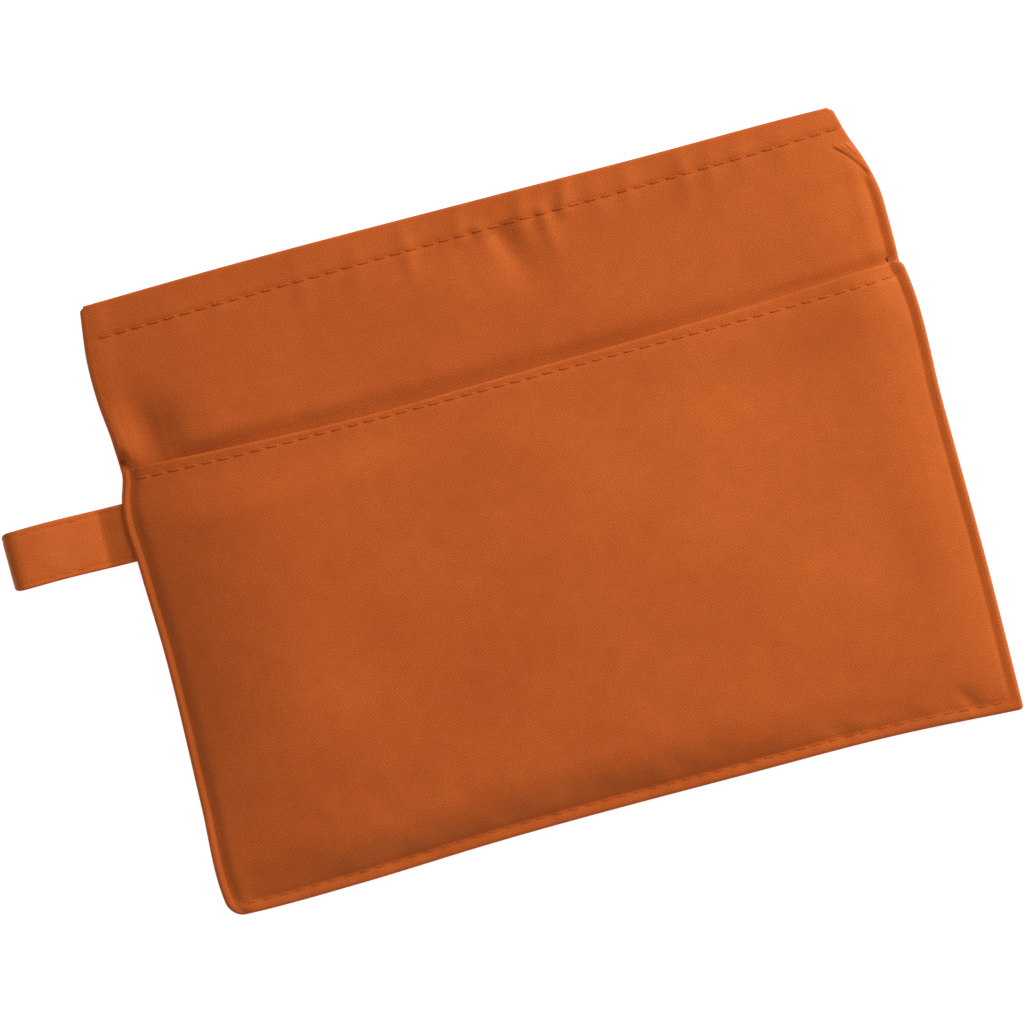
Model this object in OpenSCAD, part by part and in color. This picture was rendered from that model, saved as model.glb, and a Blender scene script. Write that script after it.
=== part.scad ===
// Small fabric sandbag, lying on its back. Millimetres, +Z up, +Y towards the mouth.
// The origin is the middle of the pouch's back, on the surface that it rests on.

/* [Pouch] */
// Width over the side seams
pouch_w = 200; // [180:1:230]
// Height from the bottom seam to the mouth
pouch_h = 154; // [150:1:170]
// Height of the front pocket, up to its hemmed edge
pocket_h = 112; // [106:1:114]
// Thickness of one layer of cloth
cloth_t = 0.5; // [0.3:0.1:0.6]
// Width of the pressed, topstitched edge round the pouch
edge_w = 3; // [2.5:0.5:4]
// Radius of the two bottom corners
corner_r = 3; // [2:0.5:5]
// Depth of the mouth's turned hem
mouth_hem_w = 8; // [6:0.5:10]
// Depth of the pocket's turned hem
pocket_hem_w = 5; // [4:0.5:6]

/* [Fill] */
// Height of the inner panel's crown over the side seams, above the sand
fill_crown = 7.3; // [6:0.1:8]
// Height of the empty sleeve's crown over its side seams
sleeve_crown = 3.5; // [3:0.1:3.8]
// How far the pocket's hem stands off the sleeve in the middle
pocket_gape = 5; // [4.6:0.1:5.4]

/* [Loop] */
// Width of the hanging loop's strap
loop_w = 14.5; // [10:0.5:16]
// Reach of the loop beyond the side seam
loop_reach = 31.5; // [28:0.5:40]
// Radius of the loop's eye
eye_r = 3.1; // [2.6:0.1:3.1]
// Distance from the bottom seam to the middle of the loop
loop_up = 96; // [80:0.5:98]

/* [Stitching] */
// Distance from one stitch to the next
stitch_pitch = 4.1; // [3:0.1:5]
// Diameter of the sewing thread
thread_d = 0.4; // [0.3:0.05:0.5]

/* [Hidden] */

orange = [0.73, 0.34, 0.15];
thread_orange = [0.60, 0.28, 0.12];
film_white = [0.85, 0.86, 0.84];
sand_yellow = [0.76, 0.65, 0.46];

half_w = pouch_w / 2;
y_bottom = -pouch_h / 2;
y_mouth = pouch_h / 2;
y_hem = y_bottom + pocket_h;        // the pocket's hemmed edge
y_fold = y_hem + 2;                 // the line on which the sleeve folds over
fold_gap = 0.3;                     // bare cloth between the two sides of the fold
fold_turn = 0.3;                    // a turned hem starts this far inside the cloth's edge
row_end = edge_w + 4;               // a row of stitches across stops this far from the outline
slip = 0.1;                         // clearance between layers that lie on each other
loose = 0.5;                        // clearance where one layer lies free of the next

back_lift = 2.6;                    // height of the seams' underside over the floor
allowance_t = 1.4;                  // turned-in raw edges inside the seams
allowance_z = back_lift + cloth_t + slip / 2;
inner_z = allowance_z + allowance_t + slip / 2; // underside of the inner panel, at the seams
front_z = inner_z + cloth_t + slip; // underside of the front panel, at the seams
front_top = front_z + cloth_t;

side_rise = 34;                     // run from a side seam to the crown
bottom_rise = 16;                   // run from the bottom seam to the crown
back_rise = 10;                     // run from any seam down to the flat back
neck_y = y_hem - 12;                // middle of the slope from the sand's crown to the sleeve's
neck_run = 14;

liner_inset = edge_w + 2;           // the inner bag's rim stays this far inside the pouch's edge
liner_t = 0.3;
liner_rim = 4;                      // width of the inner bag's flat sealed rim
y_liner_top = neck_y + 3;
liner_side_run = 32;                // run from the rim to the sand's crown
liner_back_run = 12;                // run from the rim down to the flat back
end_share = 0.6;                    // the same runs are shorter at the bag's two ends

// ---- heights of the layers ----

function clamp01(v) = max(0, min(1, v));
function ease_out(d, run) = let (s = clamp01(d / run)) s * (2 - s);
function smooth(s) = let (c = clamp01(s)) c * c * (3 - 2 * c);

// Half the pouch's width at height y, less at the rounded bottom corners.
function half_at(y) = let (d = min(corner_r, y - y_bottom))
    half_w - corner_r + sqrt(max(0, corner_r ^ 2 - (corner_r - d) ^ 2));
function side_d(x, y) = half_at(y) - abs(x) - edge_w;
function bottom_d(y) = y - y_bottom - edge_w;

function crown(x, y) = ease_out(side_d(x, y), side_rise) * ease_out(bottom_d(y), bottom_rise);
function dish(x, y) = ease_out(side_d(x, y), back_rise) * ease_out(bottom_d(y), back_rise);

function inner_crown(y) = let (s = smooth((neck_y - y) / neck_run + 0.5))
    sleeve_crown + (fill_crown - sleeve_crown) * s;
function front_crown(y) = let (s = smooth((y - neck_y) / neck_run + 0.5))
    fill_crown + (sleeve_crown + pocket_gape - fill_crown) * s;

function back_low(x, y) = back_lift * (1 - dish(x, y));
function inner_low(x, y) = inner_z + inner_crown(y) * crown(x, y);
function front_low(x, y) = front_z + front_crown(y) * crown(x, y);
function sleeve_low(x, y) = inner_z + sleeve_crown * crown(x, y);

// ---- grids and sheets ----

// Columns as shares of the half width, closer together near the edges.
edge_runs = [0, edge_w, edge_w + 3, edge_w + 7, edge_w + 12, edge_w + 18, edge_w + 26, edge_w + 36];
left_shares = [for (d = edge_runs) -(half_w - d) / half_w];
shares = concat(left_shares, [-0.3, 0, 0.3], [for (i = [len(left_shares) - 1:-1:0]) -left_shares[i]]);

// Rows from the bottom seam up to y_end.
low_rows = [0, 0.8, 1.8, edge_w, edge_w + 2, edge_w + 5, edge_w + 9, edge_w + 16, edge_w + 32, edge_w + 56];
neck_rows = [for (s = [0:0.2:1]) neck_y + (s - 0.5) * neck_run];
function pouch_rows(y_end) = concat(
    [for (d = low_rows) y_bottom + d],
    [for (y = neck_rows) if (y < y_end - 0.5) y],
    [y_end]);
function spread(a, b, n) = [for (i = [0:n]) a + (b - a) * i / n];

// A closed sheet over a grid, between two height functions of x and y.
module sheet(xs, ys, low, high, width = function(y) half_w) {
    nx = len(xs);
    ny = len(ys);
    points = [
        for (f = [low, high])
            for (y = ys)
                for (s = xs)
                    let (x = s * width(y)) [x, y, f(x, y)]
    ];
    function at(k, j, i) = k * nx * ny + j * nx + i;
    faces = concat(
        [for (j = [0:ny - 2]) for (i = [0:nx - 2]) for (h = [0, 1])
            h == 0 ? [at(0, j, i), at(0, j, i + 1), at(0, j + 1, i + 1)]
                   : [at(0, j, i), at(0, j + 1, i + 1), at(0, j + 1, i)]],
        [for (j = [0:ny - 2]) for (i = [0:nx - 2]) for (h = [0, 1])
            h == 0 ? [at(1, j, i), at(1, j + 1, i + 1), at(1, j, i + 1)]
                   : [at(1, j, i), at(1, j + 1, i), at(1, j + 1, i + 1)]],
        [for (i = [0:nx - 2]) for (h = [0, 1])
            h == 0 ? [at(0, 0, i), at(1, 0, i), at(1, 0, i + 1)]
                   : [at(0, 0, i), at(1, 0, i + 1), at(0, 0, i + 1)]],
        [for (i = [0:nx - 2]) for (h = [0, 1])
            h == 0 ? [at(0, ny - 1, i), at(1, ny - 1, i + 1), at(1, ny - 1, i)]
                   : [at(0, ny - 1, i), at(0, ny - 1, i + 1), at(1, ny - 1, i + 1)]],
        [for (j = [0:ny - 2]) for (h = [0, 1])
            h == 0 ? [at(0, j, 0), at(1, j + 1, 0), at(1, j, 0)]
                   : [at(0, j, 0), at(0, j + 1, 0), at(1, j + 1, 0)]],
        [for (j = [0:ny - 2]) for (h = [0, 1])
            h == 0 ? [at(0, j, nx - 1), at(1, j, nx - 1), at(1, j + 1, nx - 1)]
                   : [at(0, j, nx - 1), at(1, j + 1, nx - 1), at(0, j + 1, nx - 1)]]
    );
    polyhedron(points, faces, convexity = 6);
}

// One layer of cloth whose underside is at low(x, y).
module layer(ys, low, thick = cloth_t) {
    sheet(shares, ys, low, function(x, y) low(x, y) + thick, function(y) half_at(y));
}

// ---- the pouch ----

module back_panel() {
    color(orange) layer(pouch_rows(y_fold - fold_gap), function(x, y) back_low(x, y));
}

module inner_panel() {
    color(orange) layer(pouch_rows(y_fold - fold_gap), function(x, y) inner_low(x, y));
}

module front_panel() {
    color(orange) layer(pouch_rows(y_hem), function(x, y) front_low(x, y));
}

// The strip turned in behind the front panel's top edge, inside the side seams.
hem_in = 12;                        // the strip stops this far inside the pressed edge
hem_share = (half_w - edge_w - hem_in) / half_w;
module pocket_hem() {
    low = function(x, y) front_low(x, y) - loose / 2 - cloth_t;
    color(orange)
        sheet(spread(-hem_share, hem_share, 16), spread(y_hem - pocket_hem_w, y_hem - fold_turn, 2),
            low, function(x, y) low(x, y) + cloth_t);
}

// The outline of the pressed edge, from the bottom seam up to y_end.
module outline(y_end, inset = 0) {
    r = max(0.2, corner_r - inset);
    w = half_w - inset;
    y0 = y_bottom + inset;
    translate([-w, y0 + r]) square([2 * w, y_end - y0 - r]);
    translate([-w + r, y0]) square([2 * (w - r), r + 0.01]);
    for (side = [-1, 1]) translate([side * (w - r), y0 + r]) circle(r, $fn = 48);
}

// A run of turned-in raw edges between the back and the inner panel, cut from the pressed edge.
module seam_run(y_end) {
    color(orange)
        translate([0, 0, allowance_z])
            linear_extrude(allowance_t)
                intersection() {
                    difference() {
                        outline(y_end);
                        outline(y_end + over, edge_w);
                    }
                    children();
                }
}

y_loop = y_bottom + loop_up;
over = 1;                           // a window reaches this far past what it cuts out

module side_window(side, y0, y1) {
    x0 = side < 0 ? -half_w - over : half_w - edge_w - slip;
    translate([x0, y0]) square([edge_w + slip + over, y1 - y0]);
}

module left_seam() {
    seam_run(y_fold - fold_gap)
        difference() {
            side_window(-1, y_bottom + edge_w, y_mouth);
            side_window(-1, y_loop - loop_w / 2 - slip, y_loop + loop_w / 2 + slip);
        }
}

module right_seam() {
    seam_run(y_fold - fold_gap) side_window(1, y_bottom + edge_w, y_mouth);
}

module bottom_seam() {
    seam_run(y_fold - fold_gap)
        translate([-half_w - over, y_bottom - over])
            square([pouch_w + 2 * over, over + edge_w - slip]);
}

// ---- stitching ----

thread_r = thread_d / 2;
stitch_l = 0.72 * stitch_pitch;
stitch_in = edge_w - thread_d - slip;   // the edge's stitches, in from the outline
hem_stitch_in = 3;                  // the pocket hem's stitches, down from its edge
row_gap = 1;                        // the sleeve's side rows stop this far below the mouth's hem

// A stitch along X, tilted by slope, lying half sunk in the cloth.
module stitch(slope = 0) {
    rotate([0, -slope, 0]) translate([-stitch_l / 2, 0, 0])
        rotate([0, 90, 0]) cylinder(h = stitch_l, r = thread_r, $fn = 16);
}

// A row of stitches across the pouch at height y, on the surface z(x).
module cross_row(y, z, margin) {
    n = floor((pouch_w - 2 * margin) / stitch_pitch);
    for (i = [0:n]) {
        x = (i - n / 2) * stitch_pitch;
        dz = z(x + stitch_l / 2) - z(x - stitch_l / 2);
        translate([x, y, (z(x + stitch_l / 2) + z(x - stitch_l / 2)) / 2])
            stitch(atan(dz / stitch_l));
    }
}

// A row of stitches up a side, from y0 to y1, on the two faces of the pressed edge.
module side_rows(side, y0, y1, z_upper) {
    n = floor((y1 - y0) / stitch_pitch) - 1;
    first = (y0 + y1 - n * stitch_pitch) / 2;
    color(thread_orange)
        for (i = [0:n], z = [back_lift, z_upper])
            translate([side * (half_w - stitch_in), first + i * stitch_pitch, z])
                rotate([0, 0, 90]) stitch();
}

y_side_row = y_bottom + edge_w + 2;
module left_seam_thread() side_rows(-1, y_side_row, y_hem - hem_stitch_in, front_top);
module right_seam_thread() side_rows(1, y_side_row, y_hem - hem_stitch_in, front_top);
module sleeve_seam_thread() {
    for (side = [-1, 1])
        side_rows(side, y_fold + hem_stitch_in, y_mouth - mouth_hem_w - row_gap, inner_z + cloth_t);
}

module bottom_seam_thread() {
    color(thread_orange) {
        cross_row(y_bottom + stitch_in, function(x) front_top, row_end);
        cross_row(y_bottom + stitch_in, function(x) back_lift, row_end);
    }
}

pocket_stitch_y = y_hem - hem_stitch_in;
module pocket_hem_thread() {
    color(thread_orange)
        cross_row(pocket_stitch_y, function(x) front_low(x, pocket_stitch_y) + cloth_t, row_end);
}

// ---- the inner bag and its sand ----

liner_y0 = y_bottom + liner_inset;
liner_half = half_w - liner_inset;
liner_shares = [-1, -0.955, -0.9, -0.82, -0.7, -0.5, -0.25, 0, 0.25, 0.5, 0.7, 0.82, 0.9, 0.955, 1];
liner_rows = concat(
    [0, liner_rim, liner_rim + 3, liner_rim + 8, liner_rim + 16, liner_rim + 34, liner_rim + 56],
    [for (d = [24, 16, 8, 3, 0]) y_liner_top - liner_y0 - liner_rim - d],
    [y_liner_top - liner_y0]);
liner_ys = [for (d = liner_rows) liner_y0 + d];
liner_z0 = cloth_t + slip;

// Share of the inner bag's full height: none on its flat sealed rim.
function liner_rise(x, y, run) =
    ease_out(liner_half - liner_rim - abs(x), run)
    * ease_out(min(y - liner_y0, y_liner_top - y) - liner_rim, run * end_share);
liner_seal_z = back_lift + cloth_t + slip;
function liner_back_low(x, y) =
    liner_seal_z + (liner_z0 - liner_seal_z) * liner_rise(x, y, liner_back_run);
// The sand's crown follows the inner panel, which lies on it.
liner_room = inner_z + fill_crown - liner_seal_z - 2 * liner_t - loose - slip;
function liner_front_low(x, y) = liner_seal_z + liner_t + slip / 2
    + liner_room * liner_rise(x, y, liner_side_run);

module liner_sheet(low) {
    sheet(liner_shares, liner_ys, low, function(x, y) low(x, y) + liner_t, function(y) liner_half);
}

module liner_back() {
    color(film_white) liner_sheet(function(x, y) liner_back_low(x, y));
}

module liner_front() {
    color(film_white) liner_sheet(function(x, y) liner_front_low(x, y));
}

sand_shares = [-1, -0.95, -0.88, -0.78, -0.62, -0.4, 0, 0.4, 0.62, 0.78, 0.88, 0.95, 1];
sand_in = liner_rim + 2;
module sand_fill() {
    y0 = liner_y0 + sand_in;
    y1 = y_liner_top - sand_in;
    run = y1 - y0;
    ys = [for (s = [0, 0.03, 0.08, 0.16, 0.3, 0.5, 0.7, 0.84, 0.92, 0.97, 1]) y0 + s * run];
    color(sand_yellow)
        sheet(sand_shares, ys,
            function(x, y) liner_back_low(x, y) + liner_t + loose,
            function(x, y) liner_front_low(x, y) - loose,
            function(y) liner_half - sand_in);
}

// ---- the sleeve ----

sleeve_ys = spread(y_fold, y_mouth, 4);

module sleeve_back() {
    color(orange) layer(sleeve_ys, function(x, y) back_low(x, y));
}

module sleeve_front() {
    color(orange) layer(sleeve_ys, function(x, y) sleeve_low(x, y));
}

// A strip turned in at the mouth, inside the side seams.
mouth_in = 3;                       // the strip stops this far inside the side seams
mouth_share = (half_w - edge_w - mouth_in) / half_w;
module mouth_strip(low) {
    xs = [for (s = shares) if (abs(s) < mouth_share) s];
    sheet(concat([-mouth_share], xs, [mouth_share]), [y_mouth - mouth_hem_w, y_mouth - fold_turn],
        low, function(x, y) low(x, y) + cloth_t);
}

module mouth_hem_back() {
    color(orange) mouth_strip(function(x, y) back_low(x, y) + cloth_t + slip);
}

module mouth_hem_front() {
    color(orange) mouth_strip(function(x, y) sleeve_low(x, y) - cloth_t - slip);
}

module sleeve_seam(side) {
    x0 = side < 0 ? -half_w : half_w - edge_w;
    color(orange)
        translate([x0, y_fold, allowance_z])
            cube([edge_w, y_mouth - y_fold, allowance_t]);
}

module sleeve_left_seam() sleeve_seam(-1);
module sleeve_right_seam() sleeve_seam(1);

mouth_stitch_y = y_mouth - mouth_hem_w + 0.8;     // just above the turned strip's raw edge
module mouth_hem_thread() {
    color(thread_orange) {
        cross_row(mouth_stitch_y, function(x) sleeve_low(x, mouth_stitch_y) + cloth_t, row_end);
        cross_row(mouth_stitch_y, function(x) back_low(x, mouth_stitch_y) + thread_r, row_end);
    }
}

// ---- the hanging loop ----

ply_gap = 0.04;
strap_t = (allowance_t - ply_gap) / 2; // one ply of the folded strap
loop_z = allowance_z + allowance_t / 2;
bend_out = 1.1;                     // the strap bends this far outside the seam
hinge_x = -half_w - bend_out;
ring_r = eye_r + strap_t;
eye_run = loop_reach - bend_out - ring_r; // from the bend to the middle of the eye
flank_a = asin(ring_r / norm([eye_run, allowance_t / 2])) - atan(allowance_t / 2 / eye_run);
stub = 1.5;                         // the plies stay together this far past the bend
tail_out = 0.2;                     // the strap's ends show this far outside the seam
strap_stitch_in = 1.4;              // the strap's stitches, in from its edges

// The strap's two ends, sewn into the side seam.
module loop_tail() {
    color(orange)
        for (z = [loop_z - ply_gap / 2 - strap_t, loop_z + ply_gap / 2])
            translate([-half_w - tail_out, y_loop - loop_w / 2, z])
                cube([edge_w, loop_w, strap_t]);
}

// A teardrop about the eye, from the bend outwards, whose round end has radius r.
// Its flanks end a little inside the round end, so that the two outlines cross.
crossing = 0.03;
module teardrop(r, start, start_h) {
    q = r - crossing;
    translate([eye_run, 0]) circle(r, $fn = 96);
    polygon([
        [start, start_h],
        [start, -start_h],
        [eye_run - q * sin(flank_a), -q * cos(flank_a)],
        [eye_run - q * sin(flank_a), q * cos(flank_a)]
    ]);
}

// Places a child drawn outwards from the bend, with the seam on its left.
module at_loop() {
    translate([hinge_x, y_loop, loop_z]) mirror([1, 0, 0]) children();
}

module hang_loop() {
    color(orange)
        at_loop()
            rotate([90, 0, 0])
                translate([0, 0, -loop_w / 2])
                    linear_extrude(loop_w)
                        difference() {
                            teardrop(ring_r, 0, allowance_t / 2);
                            teardrop(eye_r, stub, ply_gap);
                        }
}

// Two rows of stitches along each face of the strap.
module loop_thread() {
    row_y = loop_w / 2 - strap_stitch_in;
    flank_l = eye_run * cos(flank_a);
    n = floor((flank_l - stitch_l) / stitch_pitch);
    color(thread_orange)
        at_loop()
            for (face = [-1, 1], i = [0:n], side = [-1, 1])
                translate([0, side * row_y, face * allowance_t / 2])
                    rotate([0, -face * flank_a, 0])
                        translate([stitch_l + i * stitch_pitch, 0, 0]) stitch();
}

back_panel();
inner_panel();
front_panel();
pocket_hem();
left_seam();
right_seam();
bottom_seam();
left_seam_thread();
right_seam_thread();
bottom_seam_thread();
pocket_hem_thread();
loop_tail();
liner_back();
liner_front();
sand_fill();
sleeve_back();
sleeve_front();
mouth_hem_back();
mouth_hem_front();
sleeve_left_seam();
sleeve_right_seam();
mouth_hem_thread();
sleeve_seam_thread();
hang_loop();
loop_thread();
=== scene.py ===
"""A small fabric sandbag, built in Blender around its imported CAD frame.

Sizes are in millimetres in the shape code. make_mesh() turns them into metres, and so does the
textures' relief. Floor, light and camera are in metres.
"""
import math

import bpy
import numpy as np
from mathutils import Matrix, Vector


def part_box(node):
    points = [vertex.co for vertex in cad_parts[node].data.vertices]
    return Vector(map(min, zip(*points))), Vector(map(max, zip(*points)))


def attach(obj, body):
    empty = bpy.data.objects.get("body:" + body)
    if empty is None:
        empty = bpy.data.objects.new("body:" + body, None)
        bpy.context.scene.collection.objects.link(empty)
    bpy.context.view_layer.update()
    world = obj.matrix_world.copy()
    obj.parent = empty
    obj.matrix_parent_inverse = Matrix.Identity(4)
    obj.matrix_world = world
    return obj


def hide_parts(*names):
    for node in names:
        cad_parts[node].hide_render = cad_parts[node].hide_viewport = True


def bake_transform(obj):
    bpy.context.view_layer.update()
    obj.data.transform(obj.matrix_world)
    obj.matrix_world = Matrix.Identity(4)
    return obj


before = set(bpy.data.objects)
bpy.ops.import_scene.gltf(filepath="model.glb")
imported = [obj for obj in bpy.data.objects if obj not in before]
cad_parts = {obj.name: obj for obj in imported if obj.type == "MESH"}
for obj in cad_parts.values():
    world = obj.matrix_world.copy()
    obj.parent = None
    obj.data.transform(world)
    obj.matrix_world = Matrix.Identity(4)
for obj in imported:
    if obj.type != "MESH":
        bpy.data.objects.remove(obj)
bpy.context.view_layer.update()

MM = 0.001


# ---------------------------------------------------------------- places from the frame

def cad(node):
    """A node's lowest and highest corners, in millimetres."""
    return np.array(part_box(node), float) / MM


HALF_W = cad("back_panel")[1][0]
Y_BOTTOM = cad("back_panel")[0][1]
Y_HEM = cad("front_panel")[1][1]
Y_MOUTH = cad("sleeve_back")[1][1]
SEAM_LOW, SEAM_HIGH = cad("left_seam")[0][2], cad("left_seam")[1][2]
SEAM_Z = (SEAM_LOW + SEAM_HIGH) / 2
LOOP = cad("hang_loop")
TAIL = cad("loop_tail")

CLOTH_T = 0.42              # thickness of the cloth
EDGE_W = 3.0                # width of the pressed edge
STITCH_IN = 2.45            # the edge's stitches, in from the outline
STITCH_PITCH = 4.1
LIP_R = 0.62                # radius of the fold along each edge
FRONT_Z = cad("front_panel")[0][2] + 0.1    # middle of the front cloth, on the pressed edge
BACK_Z = SEAM_LOW - 0.3                     # middle of the back cloth, on the pressed edge
SLEEVE_Z = cad("sleeve_front")[0][2] + 0.25


# ---------------------------------------------------------------- small maths

def smooth(s):
    s = np.clip(s, 0, 1)
    return s * s * (3 - 2 * s)


def ease_out(d, run):
    s = np.clip(d / run, 0, 1)
    return s * (2 - s)


def bump(x, centre, width):
    return np.exp(-((x - centre) / width) ** 2)


def curve_through(points):
    """A smooth function of one value through a few given points."""
    xs, ys = (np.array(c, float) for c in zip(*points))
    slopes = np.gradient(ys, xs)

    def at(x):
        x = np.clip(np.asarray(x, float), xs[0], xs[-1])
        i = np.clip(np.searchsorted(xs, x) - 1, 0, len(xs) - 2)
        h = xs[i + 1] - xs[i]
        t = (x - xs[i]) / h
        return (
            ys[i] * (1 + 2 * t) * (1 - t) ** 2
            + ys[i + 1] * t * t * (3 - 2 * t)
            + slopes[i] * h * t * (1 - t) ** 2
            - slopes[i + 1] * h * t * t * (1 - t)
        )

    return at


def noise(x, y, scale, seed):
    """Smooth seeded noise from -1 to 1, with lumps about scale millimetres across."""
    size = 64
    lattice = np.random.default_rng(seed).uniform(-1, 1, (size, size))
    u, v = np.asarray(x) / scale + 500.0, np.asarray(y) / scale + 500.0
    i, j = np.floor(u).astype(int), np.floor(v).astype(int)
    a, b = smooth(u - i), smooth(v - j)
    i0, j0, i1, j1 = i % size, j % size, (i + 1) % size, (j + 1) % size
    low = lattice[i0, j0] * (1 - a) + lattice[i1, j0] * a
    high = lattice[i0, j1] * (1 - a) + lattice[i1, j1] * a
    return low * (1 - b) + high * b


def along(x, y, start, end):
    """Distance along and across the line from start to end."""
    d = np.subtract(end, start).astype(float)
    length = np.hypot(*d)
    d /= length
    dx, dy = x - start[0], y - start[1]
    return (dx * d[0] + dy * d[1]) / length, dy * d[0] - dx * d[1]


def graded(lo, hi, coarse, fine, marks, reach):
    """Values from lo to hi, a fine step apart near each mark and a coarse step apart elsewhere."""
    values = [lo]
    while values[-1] < hi:
        gap = min(abs(values[-1] - m) for m in marks)
        share = smooth((gap - reach) / (3 * reach))
        values.append(values[-1] + fine + (coarse - fine) * float(share))
    values = np.array(values)
    return lo + (values - lo) * (hi - lo) / (values[-1] - lo)


# ---------------------------------------------------------------- meshes
# A part is (points, faces, flat), where flat holds each point's place on the uncut material.

def make_mesh(name, parts):
    """One object from several closed parts."""
    mesh = bpy.data.meshes.new(name)
    points = np.concatenate([p for p, _, _ in parts]) * MM
    flat = np.concatenate([f for _, _, f in parts])
    faces, start = [], 0
    for part_points, part_faces, _ in parts:
        faces += [[start + int(i) for i in face] for face in part_faces]
        start += len(part_points)
    mesh.from_pydata(points.tolist(), [], faces)
    layer = mesh.attributes.new("flat", "FLOAT_VECTOR", "POINT")
    layer.data.foreach_set("vector", np.asarray(flat, np.float32).ravel())
    mesh.polygons.foreach_set("use_smooth", [True] * len(mesh.polygons))
    mesh.update()
    piece = bpy.data.objects.new(name, mesh)
    bpy.context.scene.collection.objects.link(piece)
    return piece


def grid_normals(p):
    du, dv = np.gradient(p, axis=1), np.gradient(p, axis=0)
    n = np.cross(du, dv)
    return n / np.maximum(np.linalg.norm(n, axis=2, keepdims=True), 1e-9)


def flat_lengths(p):
    """Distances along the cloth, across and up, as if the sheet were flat."""
    across = np.linalg.norm(np.diff(p, axis=1), axis=2)
    up = np.linalg.norm(np.diff(p, axis=0), axis=2)
    u = np.concatenate([np.zeros((p.shape[0], 1)), np.cumsum(across, axis=1)], axis=1)
    v = np.concatenate([np.zeros((1, p.shape[1])), np.cumsum(up, axis=0)], axis=0)
    u -= u[:, [p.shape[1] // 2]]
    return np.stack([u, v, np.zeros_like(u)], axis=2)


def closed_grid(upper, lower, flat):
    """A closed part from two grids of points that face each other, joined round their rims."""
    rows, cols = upper.shape[:2]
    under = rows * cols
    index = np.arange(under).reshape(rows, cols)
    a, b, c, d = index[:-1, :-1], index[:-1, 1:], index[1:, 1:], index[1:, :-1]
    top = np.stack([a, b, c, d], axis=-1).reshape(-1, 4)
    faces = [top, top[:, ::-1] + under]
    for rim in (index[0], index[:, -1], index[-1][::-1], index[::-1, 0]):
        r0, r1 = rim[:-1], rim[1:]
        faces.append(np.stack([r1, r0, r0 + under, r1 + under], axis=-1))
    points = np.concatenate([upper.reshape(-1, 3), lower.reshape(-1, 3)])
    flat = flat.reshape(-1, 3)
    return points, np.concatenate(faces).tolist(), np.concatenate([flat, flat])


def sheet_part(p, thick=None):
    """A closed sheet of cloth about the grid of points p."""
    thick = CLOTH_T if thick is None else thick
    n = grid_normals(p) * (np.asarray(thick)[..., None] if np.ndim(thick) else thick) / 2
    return closed_grid(p + n, p - n, flat_lengths(p))


def path_lengths(path):
    """Distances along a path, from its first point."""
    return np.concatenate([[0], np.cumsum(np.linalg.norm(np.diff(path, axis=0), axis=1))])


TEXTURE_SHIFT = 3.1         # sets each tube's texture apart from the next one's


def tube(path, radius, sides=8, seed=0):
    """A closed round tube along a path, as a part."""
    path = np.asarray(path, float)
    tangent = np.gradient(path, axis=0)
    tangent /= np.linalg.norm(tangent, axis=1, keepdims=True)
    side = np.cross(tangent, [0.0, 0.0, 1.0])
    side /= np.maximum(np.linalg.norm(side, axis=1, keepdims=True), 1e-9)
    up = np.cross(side, tangent)
    angles = np.arange(sides) * 2 * math.pi / sides
    rings = path[:, None] + radius * (
        np.cos(angles)[None, :, None] * side[:, None] + np.sin(angles)[None, :, None] * up[:, None]
    )
    shift = seed * TEXTURE_SHIFT
    lengths = path_lengths(path)[:, None] + shift
    flat = np.stack(np.broadcast_arrays(lengths, angles[None] * radius, 0.0), axis=-1)
    n = len(path)
    ring = np.arange(sides)
    k = (np.arange(n - 1) * sides)[:, None]
    after = (ring + 1) % sides
    walls = np.stack([k + ring, k + after, k + sides + after, k + sides + ring], axis=-1)
    ends = [ring.tolist(), ((n - 1) * sides + ring)[::-1].tolist()]
    faces = walls.reshape(-1, 4)[:, ::-1].tolist() + ends
    return rings.reshape(-1, 3), faces, flat.reshape(-1, 3)


# ---------------------------------------------------------------- the pouch's shape

# The outline's left and right edges at a few heights, as (height, x). Above the pocket the sleeve
# is a little narrower.
left_edge = curve_through([
    (-77, -100.3), (-72, -100.9), (-50, -100.4), (-10, -99.8), (10, -100.5), (27, -100.6),
    (33, -98.9), (36, -98.7),
])
right_edge = curve_through([
    (-77, 100.0), (-40, 100.2), (0, 99.6), (31, 99.2), (33.5, 98.8), (36, 97.9),
])
sleeve_left = curve_through([
    (34, -98.9), (42, -99.2), (52, -100.2), (62, -100.3), (70, -99.6), (77, -98.8),
])
sleeve_right = curve_through([
    (34, 97.9), (46, 98.0), (56, 97.5), (63, 95.7), (70, 93.2), (77, 91.3),
])

# Lines across the pouch, as (x, height).
bottom_edge = curve_through([
    (-101, -78.0), (-90, -78.2), (-68, -77.8), (-32, -76.3), (30, -75.6), (70, -75.6), (101, -77.2),
])
hem_edge = curve_through([
    (-101, 34.6), (-70, 33.2), (-40, 32.4), (0, 33.2), (62, 35.0), (101, 37.2),
])
mouth_edge = curve_through([
    (-100, 75.6), (-60, 76.4), (0, 76.7), (45, 76.8), (80, 77.2), (93, 77.2),
])
hem_stitch = curve_through([
    (-100, 31.6), (-70, 30.9), (-45, 30.9), (0, 31.3), (62, 32.1), (92, 33.0), (101, 33.6),
])
mouth_stitch = curve_through([
    (-100, 67.0), (-46, 68.3), (0, 69.2), (50, 70.1), (71, 70.7), (92, 71.7),
])

CORNER_R = 3.8
SHARP_CORNER_R = 0.9
LOW_LEFT, LOW_RIGHT = float(bottom_edge(-97)), float(bottom_edge(99))    # the bottom corners
NARROWING = 3               # run over which the outline narrows to the sleeve's, up to the hem


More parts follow.
